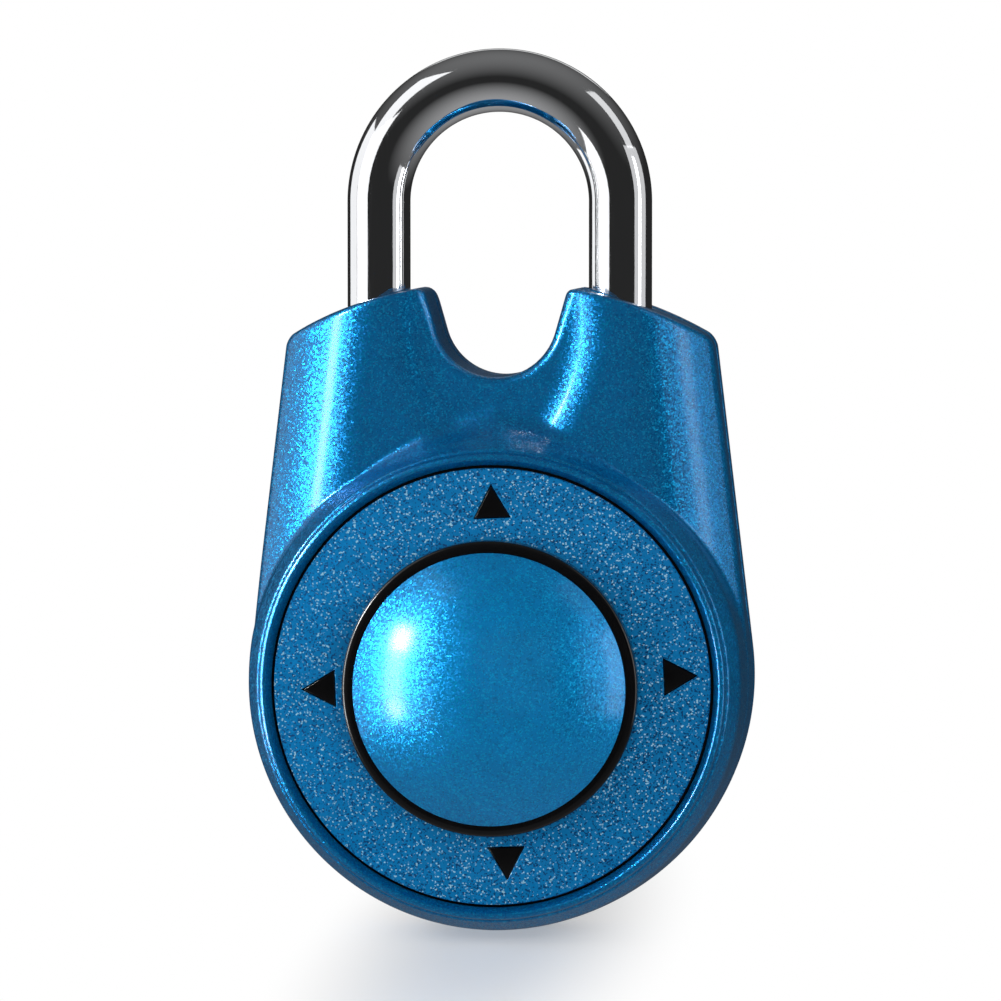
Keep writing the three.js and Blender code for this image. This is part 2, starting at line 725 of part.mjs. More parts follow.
function resetButton() {
  const { z } = RESET;
  const grip = [-3.4, -2, -0.6].map((x) => block(x - 0.2, x + 0.2, 9.1, 10, z - 2.2, z + 2.2));
  return block(-4.5, 0.5, BACK_Y - RESET.depth + 0.2, BACK_Y - 0.1, z - 3, z + 3)
    .add(block(-3.2, -0.8, 6.8, 8.6, z - 1.2, z + 1.2))
    .subtract(joined(grip));
}

function resetTongue() {
  const { z } = RESET;
  return block(-5, 1, 6.9, 7.6, z - 3.5, z + 5).subtract(
    block(-3.5, -0.5, 6, 8, z - 1.5, z + 1.5),
  );
}

function caseRivet({ x, z }) {
  const top = BACK_Y - 0.05;
  return barY(RIVET.r, RIVET.tip, top - 0.4, x, z, 12).add(
    barY(RIVET.headR, top - RIVET.headT, top, x, z, 16),
  );
}

// ---- assembly ----------------------------------------------------------------------------------
const padlock = new THREE.Group();

// Adds one named piece. Its solid is already in place, unless the mesh is then turned or moved.
function add(name, piece, material) {
  const { vertProperties, triVerts } = piece.getMesh();
  const geometry = new THREE.BufferGeometry();
  geometry.setAttribute("position", new THREE.BufferAttribute(vertProperties, 3));
  geometry.setIndex(new THREE.BufferAttribute(triVerts, 1));
  geometry.computeVertexNormals();
  const mesh = new THREE.Mesh(geometry, material);
  mesh.name = name;
  padlock.add(mesh);
  return mesh;
}

function addSpring(name, geometry, material) {
  return add(name, solid(geometry), material);
}

add("front_shell", frontShell(), bluePaint());
add("back_shell", backShell(), bluePaint());
for (const [name, piece, material] of [
  ["dial_plate", dialPlate(), bluePaint()],
  ["dial_carrier", dialCarrier(), blackPlastic()],
]) {
  add(name, piece, material).rotation.y = -DIAL_TURN;
}

add("shackle", shackle(), chrome());
const stopPin = barY(PIN_R, WHEEL_ROOM_Y + GAP, SEAM_Y - GAP, STOP_PIN.x, STOP_PIN.z, 12);
add("shackle_stop_pin", stopPin, steel());
const footSpring = coil(2.9, 0.3, HEEL_Z - SHELF_Z - 1 - 2 * GAP, 3).rotateX(Math.PI / 2);
addSpring("shackle_spring", footSpring.translate(-LEG_X, 0, SHELF_Z + 1 + GAP), steel());

add("knob_dome", knobDome(), bluePaint());
add("knob_skirt", knobSkirt(), blackPlastic());
add("knob_stem", knobStem(), whitePlastic());
add("knob_retainer", knobRetainer(), steel());
add("knob_screw", knobScrew(), steel());
add("dust_shutter", dustShutter(), blackPlastic());

add("guide_plate", guidePlate(), whitePlastic());
add("vertical_slide", verticalSlide(), whitePlastic());
add("cross_slide", crossSlide(), whitePlastic());
const ways = ["up", "left", "down", "right"];
ways.forEach((way, n) => {
  add("pawl_" + way, pawl().rotate([0, -90 * n, 0]), steel());
  const spring = coil(0.9, 0.22, CAVITY_R - 2 - ARM_END - 2 * GAP, 5).rotateX(Math.PI / 2);
  spring.translate(0, (V_SLIDE_Y.back + GUIDE_Y.front) / 2 - 0.35, ARM_END + GAP);
  addSpring("centring_spring_" + way, spring.rotateY(-QUARTERS[n]), steel());
});

for (const corner of CORNERS) {
  add("ratchet_ring_" + corner.name, ratchetRing(corner), whitePlastic());
  add("code_wheel_" + corner.name, codeWheel(corner), brass());
  add("wheel_axle_" + corner.name, wheelAxle(corner), steel());
}
add("mechanism_plate", mechanismPlate(), steel());
pillars().forEach((at, n) => add(`mechanism_screw_${n + 1}`, mechanismScrew(at), steel()));
RIVETS.forEach((at, n) => add(`case_rivet_${n + 1}`, caseRivet(at), steel()));

add("fence_plate", fencePlate(), steel());
const fenceSpring = coil(1.1, 0.22, 6.8, 5).rotateX(Math.PI / 2);
addSpring("fence_spring", fenceSpring.translate(0, 3.2, -9.5), steel());
add("latch_bolt", latchBolt(), steel());
const latchSpring = coil(0.9, 0.22, 6.8, 5).rotateZ(-Math.PI / 2);
addSpring("latch_spring", latchSpring.translate(-6.6, 5.95, 26), steel());
add("reset_button", resetButton(), blackPlastic());
add("reset_tongue", resetTongue(), steel());

padlock.position.z = -(BOW_Z + LEG_X - BAR_R);

export default padlock;
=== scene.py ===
"""Blue directional combination padlock: the visible surfaces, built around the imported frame.

Shapes are worked out in millimetres about the middle of the dial, with +X right, +Z up and the
front facing -Y. The case shells and the shackle are drawn as distance fields and meshed on their
zero surface; the ring, knob and rivets are turned profiles; the dial is cut from outlines.
"""

import math

import bmesh
import bpy
import numpy as np
from mathutils import Matrix, Vector


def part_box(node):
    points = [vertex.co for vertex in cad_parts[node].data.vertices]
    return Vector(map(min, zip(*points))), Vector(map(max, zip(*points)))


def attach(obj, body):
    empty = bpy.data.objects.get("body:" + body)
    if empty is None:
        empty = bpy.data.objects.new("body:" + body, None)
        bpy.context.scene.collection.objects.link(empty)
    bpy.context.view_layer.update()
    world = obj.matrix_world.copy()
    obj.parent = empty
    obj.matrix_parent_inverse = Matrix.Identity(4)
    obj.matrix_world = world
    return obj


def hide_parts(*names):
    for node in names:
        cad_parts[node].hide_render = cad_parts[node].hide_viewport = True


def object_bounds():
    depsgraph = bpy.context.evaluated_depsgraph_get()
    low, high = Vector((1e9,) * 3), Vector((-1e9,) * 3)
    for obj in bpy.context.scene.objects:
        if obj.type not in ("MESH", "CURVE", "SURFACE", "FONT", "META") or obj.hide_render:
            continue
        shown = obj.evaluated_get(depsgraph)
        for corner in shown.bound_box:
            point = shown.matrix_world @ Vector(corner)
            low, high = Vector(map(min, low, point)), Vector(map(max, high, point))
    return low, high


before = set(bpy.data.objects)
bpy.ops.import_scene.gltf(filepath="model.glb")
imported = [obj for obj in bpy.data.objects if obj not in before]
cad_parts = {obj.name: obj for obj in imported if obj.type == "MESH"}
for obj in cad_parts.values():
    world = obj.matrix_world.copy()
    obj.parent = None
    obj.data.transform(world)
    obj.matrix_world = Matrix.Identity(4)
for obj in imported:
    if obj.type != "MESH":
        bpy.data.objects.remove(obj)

cad_low, cad_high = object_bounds()

# ---- places taken from the frame, in millimetres ------------------------------------------------
MM = 0.001
dome_low, dome_high = (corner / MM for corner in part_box("knob_dome"))
skirt_low, skirt_high = (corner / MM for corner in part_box("knob_skirt"))
plate_low, plate_high = (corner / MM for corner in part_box("dial_plate"))
shell_low, shell_high = (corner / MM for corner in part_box("front_shell"))
rear_low, rear_high = (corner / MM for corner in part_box("back_shell"))
shackle_low, shackle_high = (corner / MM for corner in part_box("shackle"))

CENTRE_Z = (dome_low.z + dome_high.z) / 2  # height of the dial's centre in the row frame
DOME_R = dome_high.x
DOME_TOP = dome_low.y
DOME_EDGE = dome_high.y
SKIRT_R = skirt_high.x
SKIRT_FRONT, SKIRT_BACK = skirt_low.y, skirt_high.y
DIAL_R = plate_high.x
DIAL_FRONT, DIAL_BACK = plate_low.y, plate_high.y
CARRIER_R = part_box("dial_carrier")[1].x / MM
DRUM_R = shell_high.x
FRONT_Y = shell_low.y
SEAM_Y = shell_high.y
REAR_FRONT, BACK_Y = rear_low.y, rear_high.y
BAR_R = shackle_high.y
LEG_X = shackle_high.x - BAR_R
BOW_Z = shackle_high.z - CENTRE_Z - LEG_X - BAR_R
HEEL_Z = shackle_low.z - CENTRE_Z

# ---- shape of the case --------------------------------------------------------------------------
SIDE_LEAN = math.atan(0.119)
CROWN = {"x": 1.48, "z": 0.98, "r": 41.9}  # arc of the top edge
NOTCH_R, NOTCH_Z, NOTCH_LEAN = 6.6, 39.35, math.atan(0.286)
RING_R = 24.95  # outer edge of the bezel ring
RING_SEAT_R = 24.5
RING_SEAT_Y = -8.4
WALL_LEAN = math.atan(0.5)  # the wall behind the ring opens out toward the back
WALL_Y = -10.3
WALL_FRONT = -9.9
TAPER = 0.08  # how much the drum narrows, per millimetre forward of TAPER_Y
TAPER_Y = 3.0
TAPER_TOP_Z = 14  # the taper fades out up the sides and is gone at this height
CREST_Y = -7.2  # front of each shoulder, over the shackle leg
CREST_IN = 10.0  # crest's distance from the side edge
CREST = {"r": 8.7, "turn": math.radians(32)}  # the arc over the shackle leg
FLANK_R = 18.0  # the arc from there out to the side
INNER = {"r": 7.5, "turn": math.radians(26)}  # the arc down into the valley
LEVEL = {"top_z": 41, "growth": 0.0265, "most": 7}  # the level stretch between crest and valley
HOLLOW_R = 6.0  # the arc that levels off in the valley
SWEEP = {"least": 0.3, "most": 4.5, "half": 14}  # fillet between ring and shoulders, by x
GAP = 0.3

# ---- hollows of the case ------------------------------------------------------------------------
CAVITY_R = 24.6  # inside of the dial housing
SLIDE_ROOM_Y, SLIDE_ROOM_END = -7.6, -4.3  # front and back of the room for the slides
WHEEL_ROOM_Y = -4.4  # front of the room for the code wheels
LEDGE_R, LEDGE_Y = 21.3, -7  # the opening behind the dial, and how far back it goes
SHELF_Z = 18  # the cavity's flat top
BACK_FLOOR_Y = 7.9  # inside of the rear wall
BORE_R = BAR_R + 0.35
LONG_BORE_Z, SHORT_BORE_Z, BORE_TOP_Z = 19, 26.9, 60
RIVETS = [(-20, 31.5), (20, 31.5), (-9, -20.9), (9, -20.9)]
RIVET_SEAT = {"r": 2.3, "depth": 1.2}
RECESS = {"z": -6, "half_x": 6.5, "half_z": 4, "depth": 1.2}  # round the code-change button


def corner_round(a, b, r):
    """Where both a and b hold, with a rounded outer edge."""
    inner = np.minimum(-r, np.maximum(a, b))
    return inner + np.hypot(np.maximum(r + a, 0), np.maximum(r + b, 0))


def fillet(a, b, r):
    """Where either a or b holds, with a filleted inner corner."""
    outer = np.maximum(r, np.minimum(a, b))
    return outer - np.hypot(np.maximum(r - a, 0), np.maximum(r - b, 0))


def without(a, b, r=GAP):
    """Where a holds and b doesn't, with a rounded edge."""
    return corner_round(a, -b, r)


def box_field(p, low, high):
    """Distance outside a block; p, low and high hold x, y and z."""
    return np.maximum.reduce(
        np.broadcast_arrays(*[np.maximum(a - v, v - b) for v, a, b in zip(p, low, high)])
    )


def bar_y(x, y, z, r, at, y0, y1):
    """A round bar along Y through at = (x, z)."""
    return np.maximum(np.hypot(x - at[0], z - at[1]) - r, np.maximum(y0 - y, y - y1))


def bar_z(x, y, z, r, at_x, z0, z1):
    """A round bar along Z through x = at_x."""
    return np.maximum(np.hypot(x - at_x, y) - r, np.maximum(z0 - z, z - z1))


def tangent_pair(x, z, r, lean):
    """Distance outside a circle of radius r whose two upward tangents lean in by that angle."""
    across = np.abs(x) * math.cos(lean) + z * math.sin(lean)
    along = z * math.cos(lean) - np.abs(x) * math.sin(lean)
    return np.where(along > 0, across, np.hypot(x, z)) - r


def flask(x, z):
    """The outline of the body: round below, with straight sides up to an arched top."""
    side = tangent_pair(x, z, DRUM_R, SIDE_LEAN)
    crown = np.hypot(np.abs(x) - CROWN["x"], z - CROWN["z"]) - CROWN["r"]
    return corner_round(side, crown, 0.9)


def notch(x, z):
    """The rounded notch in the middle of the top edge, which widens upward."""
    return tangent_pair(x, z - NOTCH_Z, NOTCH_R, -NOTCH_LEAN)


def shoulder_drop(inward, z):
    """How far the front falls behind the crest, by the distance in from the side edge.

    A tight arc over the leg runs out into a wide arc on the flank. On the other side it runs, past
    a level stretch that widens downward, into a hollow that levels off between the shoulders.
    """
    crest_r, crest_turn = CREST["r"], CREST["turn"]
    inner_r, inner_turn = INNER["r"], INNER["turn"]
    below = np.maximum(LEVEL["top_z"] - z, 0)
    level = np.clip(LEVEL["growth"] * below**2, 0, LEVEL["most"])
    out = CREST_IN - inward
    out = np.where(out < 0, np.minimum(out + level, 0), out)
    reach = crest_r * math.sin(crest_turn)
    near = crest_r - np.sqrt(np.maximum(crest_r**2 - out**2, 0))
    start = crest_r * (1 - math.cos(crest_turn))
    q = np.clip(out - reach + FLANK_R * math.sin(crest_turn), 0, FLANK_R * 0.985)
    flank = start + FLANK_R * math.cos(crest_turn) - np.sqrt(FLANK_R**2 - q**2)
    inner_near = inner_r - np.sqrt(np.maximum(inner_r**2 - out**2, 0))
    inner_reach = inner_r * math.sin(inner_turn)
    inner_start = inner_r * (1 - math.cos(inner_turn))
    h = np.clip(HOLLOW_R * math.sin(inner_turn) + out + inner_reach, 0, None)
    hollow = inner_start + np.sqrt(np.maximum(HOLLOW_R**2 - h**2, 0))
    hollow = hollow - HOLLOW_R * math.cos(inner_turn)
    outer = np.where(out > reach, flank, near)
    inner = np.where(out < -inner_reach, hollow, inner_near)
    return np.where(out > 0, outer, inner)


def front_field(x, y, z):
    """The front casting: the round drum, the two shoulders and the sweep between them."""
    r = np.hypot(x, z)
    low = np.clip((TAPER_TOP_Z - z) / TAPER_TOP_Z, 0, 1)
    taper = TAPER * np.maximum(TAPER_Y - y, 0)
    edge = flask(x, z) + taper * low * low * (3 - 2 * low)
    wall = (r - RING_R) * math.cos(WALL_LEAN) - (y - WALL_Y) * math.sin(WALL_LEAN)
    wall = corner_round(wall, WALL_FRONT - y, 0.15)
    drum = corner_round(wall, r - DRUM_R + taper, 0.25)
    inward = -tangent_pair(x, z, DRUM_R, SIDE_LEAN)
    to_distance = 0.8  # about the cosine of the shoulders' usual slope
    shoulder = (CREST_Y + shoulder_drop(inward, z) - y) * to_distance
    shoulder = corner_round(shoulder, flask(x, z), 0.7)
    share = np.clip(1 - np.abs(x) / SWEEP["half"], 0, 1)
    sweep = SWEEP["least"] + (SWEEP["most"] - SWEEP["least"]) * share
    body = fillet(drum, shoulder, sweep)
    body = corner_round(body, edge, 0.3)
    body = without(body, notch(x, z), 1.0)
    body = corner_round(body, y - SEAM_Y, 0.35)
    return front_hollows(body, x, y, z)


def front_hollows(body, x, y, z):
    """The seat of the ring, the room for the mechanism and the bores of the shackle."""
    r = np.hypot(x, z)
    room = np.maximum(r - CAVITY_R, np.maximum(WHEEL_ROOM_Y - y, z - SHELF_Z))
    front_room = np.maximum(r - CAVITY_R, np.maximum(SLIDE_ROOM_Y - y, y - SLIDE_ROOM_END))
    opening = np.maximum(r - LEDGE_R, y - LEDGE_Y)
    seat = np.maximum(r - RING_SEAT_R, y - RING_SEAT_Y)
    coring = box_field((x, y, z), (-7.5, -1.6, 19.5), (6.2, 9, 28.5))
    nose = box_field((x, y, z), (7.2, -1.8, 34.2), (13, 9, 36.8))
    for hollow in (
        room,
        front_room,
        opening,
        seat,
        coring,
        nose,
        bar_z(x, y, z, BORE_R, -LEG_X, LONG_BORE_Z, BORE_TOP_Z),
        bar_z(x, y, z, BORE_R, LEG_X, SHORT_BORE_Z, BORE_TOP_Z),
    ):
        body = without(body, hollow)
    return body


def back_field(x, y, z):
    """The rear casting: a flat back with eased edges, and the room for the mechanism."""
    ease = 2.0
    body = corner_round(flask(x, z), y - BACK_Y, ease)
    body = without(body, notch(x, z), 1.2)
    body = corner_round(body, REAR_FRONT - y, 0.35)
    r = np.hypot(x, z)
    outline = corner_round(
        np.abs(x) - RECESS["half_x"], np.abs(z - RECESS["z"]) - RECESS["half_z"], 1.0
    )
    cavity = np.maximum(np.maximum(r - CAVITY_R, z - SHELF_Z), y - BACK_FLOOR_Y)
    latch_room = box_field((x, y, z), (-7, 0, 10), (12.4, BACK_FLOOR_Y, 31.4))
    bolt_room = box_field((x, y, z), (7.2, 0, 31), (12.4, BACK_FLOOR_Y, 38.2))
    window = box_field((x, y, z), (-3.5, 5, -7.5), (3.5, 20, -4.5))
    recess = corner_round(outline, BACK_Y - RECESS["depth"] - y, 0.3)
    hollows = [cavity, latch_room, bolt_room, window, recess]
    seat_y = BACK_Y - RIVET_SEAT["depth"]
    hollows += [bar_y(x, y, z, RIVET_SEAT["r"], at, seat_y, 20) for at in RIVETS]
    for hollow in hollows:
        body = without(body, hollow)
    return body


def shackle_field(x, y, z):
    """The bent bar, with its ring groove, the flat on the long leg and the latch notch."""
    arch = np.hypot(np.hypot(x, np.maximum(z - BOW_Z, 0)) - LEG_X, y) - BAR_R
    toe_z = 30.0
    foot = np.where(x < 0, HEEL_Z, toe_z) - z
    bar = corner_round(arch, foot, 0.7)
    pin_z, lift, neck_r, half_width = 36.35, 12.2, 2.3, 1.15
    ring = np.abs(z - (pin_z - lift)) - half_width
    groove = np.maximum(np.maximum(ring, neck_r - np.hypot(x + LEG_X, y)), x)
    flat = box_field((x, y, z), (-30, -9, 22.9), (-LEG_X - 2.1, 9, 40))
    latch = box_field((x, y, z), (LEG_X - 6, -9, 34), (LEG_X - 1, 9, 39.4))
    for hollow in (groove, flat, latch):
        bar = without(bar, hollow, 0.25)
    return bar


# ---- meshing ------------------------------------------------------------------------------------
def gradient(field, p, h=0.03):
    """The field's slope at each row of p, from differences over h to either side."""
    out = np.empty_like(p)
    for axis in range(3):
        step = np.zeros(3)
        step[axis] = h
        ahead, behind = p + step, p - step
        out[:, axis] = (field(*ahead.T) - field(*behind.T)) / (2 * h)
    return out


def zero_surface(field, low, high, step):
    """Vertices, quads and normals of the surface where the field is zero.

    Each grid cell that the surface crosses gets one vertex, which is then moved onto the surface.
    """
    axes = [np.arange(a - 2 * step, b + 3 * step, step) for a, b in zip(low, high)]
    value = field(*np.ix_(*axes)).astype(np.float32)
    inside = value < 0
    size = tuple(n - 1 for n in value.shape)
    corners = [(i, j, k) for i in (0, 1) for j in (0, 1) for k in (0, 1)]
    parts = [
        inside[i : i + size[0], j : j + size[1], k : k + size[2]] for i, j, k in corners
    ]
    mixed = np.logical_or.reduce(parts) & ~np.logical_and.reduce(parts)
    cells = np.argwhere(mixed)
    number = np.full(size, -1, np.int64)
    number[mixed] = np.arange(len(cells))
    at = [value[tuple((cells + c).T)] for c in corners]
    total, count = np.zeros((len(cells), 3)), np.zeros(len(cells))
    for a, ca in enumerate(corners):
        for b in range(a + 1, 8):
            cb = corners[b]
            if sum(abs(m - n) for m, n in zip(ca, cb)) != 1:
                continue
            crosses = (at[a] < 0) != (at[b] < 0)
            share = at[a][crosses] / (at[a][crosses] - at[b][crosses])
            total[crosses] += np.array(ca) + share[:, None] * (np.array(cb) - np.array(ca))
            count[crosses] += 1
    start = np.array([axis[0] for axis in axes])
    p = start + step * (cells + total / count[:, None])
    for _ in range(4):
        g = gradient(field, p)
        shift = (field(*p.T) / np.maximum((g**2).sum(1), 0.05))[:, None] * g
        length = np.linalg.norm(shift, axis=1, keepdims=True)
        p -= shift * np.minimum(1, 0.4 * step / np.maximum(length, 1e-9))
    normals = gradient(field, p)
    normals /= np.maximum(np.linalg.norm(normals, axis=1, keepdims=True), 1e-9)
    return p, crossing_quads(inside, number), normals


def crossing_quads(inside, number):
    """One quad round each grid edge that the surface crosses, joining the four cells beside it."""
    quads = []
    for axis in range(3):
        u, v = (axis + 1) % 3, (axis + 2) % 3
        first = np.take(inside, range(inside.shape[axis] - 1), axis)
        second = np.take(inside, range(1, inside.shape[axis]), axis)
        for here, there, flip in ((first, second, False), (second, first, True)):
            edges = np.argwhere(here & ~there)
            ring = []
            for du, dv in ((0, 0), (-1, 0), (-1, -1), (0, -1)):
                cell = edges.copy()
                cell[:, u] += du
                cell[:, v] += dv
                ring.append(number[tuple(cell.T)])
            quad = np.stack(ring, 1)
            quads.append(quad[:, ::-1] if flip else quad)
    return np.concatenate(quads)


def new_piece(name, points, faces, normals=None):
    """A mesh object from points in millimetres about the dial's centre."""
    rows = (np.asarray(points, float) + (0, 0, CENTRE_Z)) * MM
    mesh = bpy.data.meshes.new(name)
    mesh.from_pydata(rows.tolist(), [], [list(map(int, f)) for f in faces])
    mesh.validate()
    obj = bpy.data.objects.new(name, mesh)
    bpy.context.scene.collection.objects.link(obj)
    mesh.shade_smooth()
    if normals is not None:
        mesh.normals_split_custom_set_from_vertices(normals.tolist())
    return obj


def field_piece(name, field, low, high, step):
    """The zero surface of a field between two corners, as an object."""
    return new_piece(name, *zero_surface(field, low, high, step))


def soften(corners, steps=6):
    """An outline of (r, y, radius) corners with an arc of that radius at each corner."""
    out = []
    for n, (r, y, radius) in enumerate(corners):
        here = Vector((r, y))
        before = Vector(corners[n - 1][:2]) - here
        after = Vector(corners[(n + 1) % len(corners)][:2]) - here
        if radius == 0 or before.length == 0 or after.length == 0:
            out.append((r, y))
            continue
        a, b = before.normalized(), after.normalized()
        if abs(a.cross(b)) < 0.02:
            out.append((r, y))
            continue
        half = a.angle(b) / 2
        back = min(radius / math.tan(half), 0.49 * before.length, 0.49 * after.length)
        radius = back * math.tan(half)
        centre = here + (a + b).normalized() * (radius / math.sin(half))
        first, last = here + a * back - centre, here + b * back - centre
        turn = first.angle_signed(last)
        for k in range(steps + 1):
            spoke = first.copy()
            spoke.rotate(Matrix.Rotation(-turn * k / steps, 2))
            out.append(tuple(centre + spoke))
    return out


def lathe(name, outline, segments=160, sharp=40):
    """A closed (r, y) outline turned about the dial's axis."""
    points, faces = [], []
    n = len(outline)
    for k in range(segments):
        a = 2 * math.pi * k / segments
        points += [(r * math.cos(a), y, r * math.sin(a)) for r, y in outline]
        for i in range(n):
            j, m = (i + 1) % n, (k + 1) % segments
            faces.append((k * n + i, k * n + j, m * n + j, m * n + i))
    obj = new_piece(name, points, faces)
    clean(obj, sharp)
    return obj


def clean(obj, sharp=40):
    """Merges what meets on the axis, turns the faces outward and marks the sharp edges."""
    bm = bmesh.new()
    bm.from_mesh(obj.data)
    bmesh.ops.remove_doubles(bm, verts=bm.verts, dist=1e-6)
    bmesh.ops.dissolve_degenerate(bm, dist=1e-7, edges=bm.edges)
    bmesh.ops.recalc_face_normals(bm, faces=bm.faces)
    bm.to_mesh(obj.data)
    bm.free()
    obj.data.shade_smooth()
    obj.data.set_sharp_from_angle(angle=math.radians(sharp))


# ---- materials ----------------------------------------------------------------------------------
def node(tree, kind, inputs=(), **settings):
    """A shader node with its settings; inputs are (socket, value or output) pairs."""
    made = tree.nodes.new("ShaderNode" + kind)
    for name, value in settings.items():
        setattr(made, name, value)
    for socket, value in inputs:
        if isinstance(value, bpy.types.NodeSocket):
            tree.links.new(value, made.inputs[socket])
        else:
            made.inputs[socket].default_value = value
    return made


def material(name, **sockets):
    """A Principled material with those values, its tree, its shader and object coordinates."""
    made = bpy.data.materials.new(name)
    made.use_nodes = True
    tree = made.node_tree
    bsdf = tree.nodes["Principled BSDF"]
    for socket, value in sockets.items():
        bsdf.inputs[socket.replace("_", " ")].default_value = value
    return made, tree, bsdf, node(tree, "TexCoord").outputs["Object"]


def ramp(tree, factor, stops):
    """A colour ramp; each stop is a place and a colour, or a place and one grey value."""
    made = node(tree, "ValToRGB", [("Fac", factor)])
    elements = made.color_ramp.elements
    while len(elements) < len(stops):
        elements.new(0.5)
    for element, (at, colour) in zip(elements, stops):
        element.position = at
        element.color = (*colour, 1) if len(colour) == 3 else (colour[0],) * 3 + (1,)
    return made.outputs["Color"]


def noise(tree, where, size, detail=3.0):
    """Cloudy noise whose blotches are about that many millimetres across."""
    return node(
        tree,
        "TexNoise",
        [("Vector", where), ("Scale", 1 / (size * MM)), ("Detail", detail)],
    ).outputs["Fac"]


def bump(tree, height, strength, distance):
    """A bump normal from a height, with its distance in millimetres."""
    made = node(
        tree, "Bump", [("Height", height), ("Strength", strength), ("Distance", distance * MM)]
    )
    return made.outputs["Normal"]


def flake_paint(name, colours, specks, flake, tilt, metallic, roughness, coat):
    """Candy paint: metal flakes that each face their own way, under a clear coat.

    colours are for the dark flakes, the body and the bright flakes, and specks are the shares of
    the dark and the bright ones. coat is the clear coat's weight and roughness.
    """
    made, tree, bsdf, where = material(
        name,
        Metallic=metallic,
        Roughness=roughness,
        Specular_IOR_Level=0.1,
        Coat_Weight=coat[0],
        Coat_Roughness=coat[1],
        Coat_IOR=1.5,
    )
    cells = node(tree, "TexVoronoi", [("Vector", where), ("Scale", 1 / (flake * MM))])
    channels = node(tree, "SeparateColor", [("Color", cells.outputs["Color"])])
    deep, body, light = colours
    dark, bright = specks
    shade = ramp(
        tree,
        channels.outputs["Red"],
        [
            (0.0, deep),
            (dark, deep),
            (dark + 0.04, body),
            (0.96 - bright, body),
            (1 - bright, light),
        ],
    )
    cloud = ramp(tree, noise(tree, where, 3.5), [(0.3, (0.88,)), (0.7, (1.0,))])
    colour = node(
        tree,
        "Mix",
        [("Factor", 1.0), ("A", shade), ("B", cloud)],
        data_type="RGBA",
        blend_type="MULTIPLY",
    )
    tree.links.new(colour.outputs["Result"], bsdf.inputs["Base Color"])
    centred = node(
        tree,
        "VectorMath",
        [(0, cells.outputs["Color"]), (1, (0.5, 0.5, 0.5))],
        operation="SUBTRACT",
    )
    surface = node(tree, "NewGeometry")
    tilted = node(
        tree,
        "VectorMath",
        [(0, centred.outputs[0]), (1, (tilt,) * 3), (2, surface.outputs["Normal"])],
        operation="MULTIPLY_ADD",
    )
    facing = node(tree, "VectorMath", [(0, tilted.outputs[0])], operation="NORMALIZE")
    tree.links.new(facing.outputs[0], bsdf.inputs["Normal"])
    return made


def chrome():
    """Bright plate over a drawn bar, with faint haze and hairline scratches along it."""
    made, tree, bsdf, where = material(
        "chrome_plate", Base_Color=(0.86, 0.87, 0.89, 1), Metallic=1.0
    )
    stretched = node(tree, "Mapping", [("Vector", where), ("Scale", (1, 1, 0.06))])
    hairs = noise(tree, stretched.outputs[0], 0.25, 4)
    haze = ramp(tree, hairs, [(0.35, (0.03,)), (0.75, (0.11,))])
    tree.links.new(haze, bsdf.inputs["Roughness"])
    tree.links.new(bump(tree, hairs, 0.06, 0.02), bsdf.inputs["Normal"])
    return made


def plastic(name, colour, roughness, grain=0.25, strength=0.15):
    """Moulded plastic with a fine spark-eroded grain."""
    made, tree, bsdf, where = material(name, Roughness=roughness, Specular_IOR_Level=0.5)
    cloud = noise(tree, where, 2.5)
    darker = tuple(c * 0.7 for c in colour)
    tree.links.new(
        ramp(tree, cloud, [(0.3, darker), (0.7, colour)]), bsdf.inputs["Base Color"]
    )
    tree.links.new(
        bump(tree, noise(tree, where, grain), strength, 0.02), bsdf.inputs["Normal"]
    )
    return made


def machined(name, colour, roughness):
    """Stamped or turned metal with fine tool lines and mottled shine."""
    made, tree, bsdf, where = material(name, Metallic=1.0)
    lines = node(tree, "Mapping", [("Vector", where), ("Scale", (0.08, 1, 1))])
    grain = noise(tree, lines.outputs[0], 0.2)
    rough = ramp(tree, grain, [(0.3, (roughness * 0.7,)), (0.7, (roughness * 1.3,))])
    tree.links.new(rough, bsdf.inputs["Roughness"])
    darker = tuple(c * 0.8 for c in colour)
    tree.links.new(
        ramp(tree, noise(tree, where, 1.5), [(0.3, darker), (0.7, colour)]),
        bsdf.inputs["Base Color"],
    )
    tree.links.new(bump(tree, grain, 0.1, 0.02), bsdf.inputs["Normal"])
    return made


CASE_PAINT = flake_paint(
    "case_candy_blue",
    [(0.0, 0.12, 0.34), (0.0, 0.178, 0.46), (0.0, 0.30, 0.62)],
    specks=(0.15, 0.15),
    flake=0.14,
    tilt=0.36,
    metallic=0.6,
    roughness=0.32,
    coat=(0.55, 0.18),
)
DIAL_PAINT = flake_paint(
    "dial_sparkle_blue",
    [(0.0, 0.06, 0.20), (0.0, 0.225, 0.57), (0.38, 0.72, 0.92)],
    specks=(0.16, 0.05),
    flake=0.15,
    tilt=0.3,
    metallic=0.4,
    roughness=0.4,
    coat=(0.25, 0.2),
)
KNOB_PAINT = flake_paint(
    "knob_candy_blue",
    [(0.0, 0.2, 0.52), (0.0, 0.275, 0.68), (0.0, 0.40, 0.80)],
    specks=(0.12, 0.15),
    flake=0.14,
    tilt=0.34,
    metallic=0.5,
    roughness=0.34,
    coat=(0.5, 0.2),
)
CHROME = chrome()
BLACK_GLOSS = plastic("black_gloss_plastic", (0.003, 0.003, 0.0035), 0.18, 0.5, 0.04)
BLACK = plastic("black_plastic", (0.01, 0.01, 0.011), 0.42)
ACETAL = plastic("acetal", (0.72, 0.70, 0.63), 0.45)
STEEL = machined("zinc_plated_steel", (0.62, 0.63, 0.65), 0.32)
BRASS = machined("brass", (0.72, 0.50, 0.20), 0.3)


